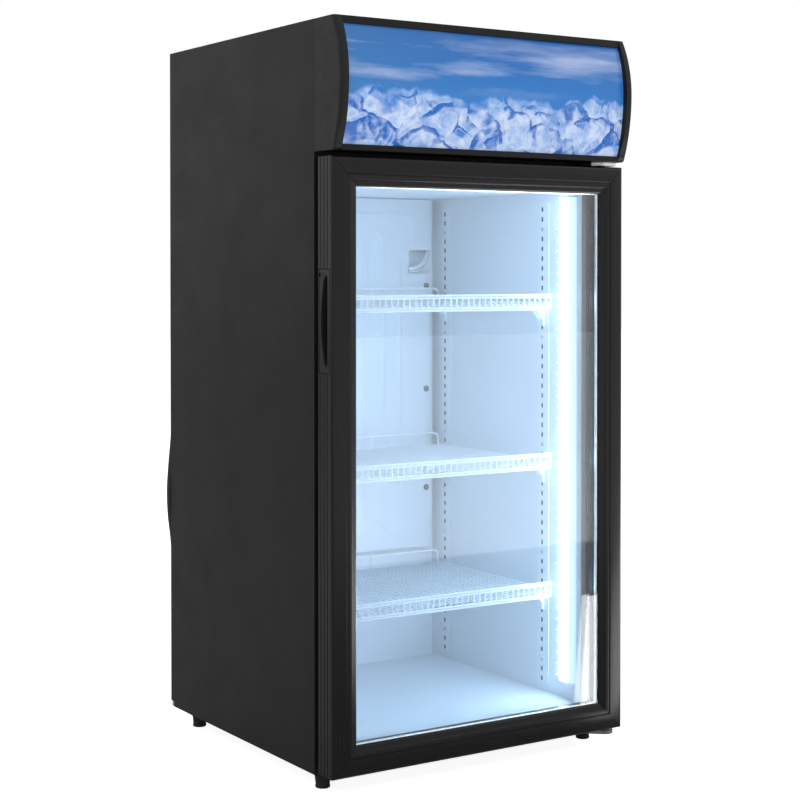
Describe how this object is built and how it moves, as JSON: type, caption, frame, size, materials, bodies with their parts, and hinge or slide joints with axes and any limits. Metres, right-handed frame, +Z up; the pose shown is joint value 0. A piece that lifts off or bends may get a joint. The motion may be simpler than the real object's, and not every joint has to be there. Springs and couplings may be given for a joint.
{
  "type": "glass door merchandiser",
  "caption": "Countertop refrigerated display cabinet with a hinged glass door, wire shelves, side light and a lit curved header.",
  "frame": {"origin": "middle of the footprint of the cabinet and header, on the surface that the feet stand on", "axes": "+Z up, the glass door and header face -Y, +X towards the hinged side of the door"},
  "size_m": [0.4323, 0.5584, 0.9],
  "materials": {
    "black_steel": "satin",
    "black_frame": "gloss",
    "black_plastic": "satin",
    "black_rubber": "matte",
    "white_liner": "satin",
    "white_wire": "satin",
    "white_plastic": "satin",
    "insulation": "matte",
    "roll_bond": "satin",
    "led_lens": "satin",
    "graphic_film": "gloss",
    "clear_glass": "polished",
    "spacer_metal": "satin",
    "gasket_vinyl": "matte",
    "zinc_plate": "satin",
    "machine_black": "satin",
    "fin_aluminium": "satin",
    "cord_pvc": "satin"
  },
  "bodies": {
    "cabinet": {"base_panel": "black_steel", "compressor": "machine_black", "condenser_coil": "fin_aluminium", "cord_coil": "cord_pvc", "cord_drop": "cord_pvc", "evaporator_plate": "roll_bond", "fan_shroud": "black_plastic", "header_end_cap_left": "black_plastic", "header_end_cap_right": "black_plastic", "header_graphic_panel": "graphic_film", "header_housing": "black_steel", "header_led_strip": "led_lens", "hinge_bracket_bottom": "black_steel", "hinge_bracket_top": "zinc_plate", "inner_liner": "white_liner", "insulation_foam": "insulation", "led_light_bar": "led_lens", "machine_deck": "black_steel", "pilaster_front_left": "white_wire", "pilaster_front_right": "white_wire", "pilaster_rear_left": "white_wire", "pilaster_rear_right": "white_wire", "plug": "cord_pvc", "rear_grille": "black_steel", "rear_panel": "black_steel", "shelf_bottom": "white_wire", "shelf_clip_bottom_front_left": "white_plastic", "shelf_clip_bottom_front_right": "white_plastic", "shelf_clip_bottom_rear_left": "white_plastic", "shelf_clip_bottom_rear_right": "white_plastic", "shelf_clip_middle_front_left": "white_plastic", "shelf_clip_middle_front_right": "white_plastic", "shelf_clip_middle_rear_left": "white_plastic", "shelf_clip_middle_rear_right": "white_plastic", "shelf_clip_top_front_left": "white_plastic", "shelf_clip_top_front_right": "white_plastic", "shelf_clip_top_rear_left": "white_plastic", "shelf_clip_top_rear_right": "white_plastic", "shelf_middle": "white_wire", "shelf_top": "white_wire", "side_panel_left": "black_steel", "side_panel_right": "black_steel", "strain_relief": "black_rubber", "top_cover": "black_steel"},
    "door": {"door_stile_left": "black_frame", "door_stile_right": "black_frame", "door_rail_bottom": "black_frame", "door_rail_top": "black_frame", "glass_outer": "clear_glass", "glass_inner": "clear_glass", "glass_spacer": "spacer_metal", "door_gasket": "gasket_vinyl", "door_handle": "black_plastic"},
    "condenser_fan": {"fan_blades": "black_plastic"},
    "thermostat_knob": {"thermostat_knob": "black_plastic"},
    "light_switch": {"light_switch": "black_plastic"},
    "levelling_foot_front_left": {"levelling_foot_front_left": "black_rubber"},
    "levelling_foot_front_right": {"levelling_foot_front_right": "black_rubber"},
    "levelling_foot_rear_left": {"levelling_foot_rear_left": "black_rubber"},
    "levelling_foot_rear_right": {"levelling_foot_rear_right": "black_rubber"}
  },
  "joints": [
    {"name": "door_hinge", "type": "hinge", "parent": "cabinet", "child": "door", "pos_m": [0.2, -0.187, 0.38], "axis": [0, 0, 1], "range_deg": [0, 110]},
    {"name": "fan_spin", "type": "hinge", "parent": "cabinet", "child": "condenser_fan", "pos_m": [0.095, 0.198, 0.823], "axis": [0, 1, 0], "continuous": true},
    {"name": "thermostat_turn", "type": "hinge", "parent": "cabinet", "child": "thermostat_knob", "pos_m": [-0.095, 0.223, 0.85], "axis": [0, -1, 0], "range_deg": [0, 270]},
    {"name": "light_switch_rock", "type": "hinge", "parent": "cabinet", "child": "light_switch", "pos_m": [-0.15, 0.2195, 0.85], "axis": [1, 0, 0], "range_deg": [0, 14]},
    {"name": "foot_turn_front_left", "type": "hinge", "parent": "cabinet", "child": "levelling_foot_front_left", "pos_m": [-0.196, -0.1484, 0.01], "axis": [0, 0, 1], "continuous": true},
    {"name": "foot_turn_front_right", "type": "hinge", "parent": "cabinet", "child": "levelling_foot_front_right", "pos_m": [0.196, -0.1484, 0.01], "axis": [0, 0, 1], "continuous": true},
    {"name": "foot_turn_rear_left", "type": "hinge", "parent": "cabinet", "child": "levelling_foot_rear_left", "pos_m": [-0.196, 0.176, 0.01], "axis": [0, 0, 1], "continuous": true},
    {"name": "foot_turn_rear_right", "type": "hinge", "parent": "cabinet", "child": "levelling_foot_rear_right", "pos_m": [0.196, 0.176, 0.01], "axis": [0, 0, 1], "continuous": true}
  ]
}
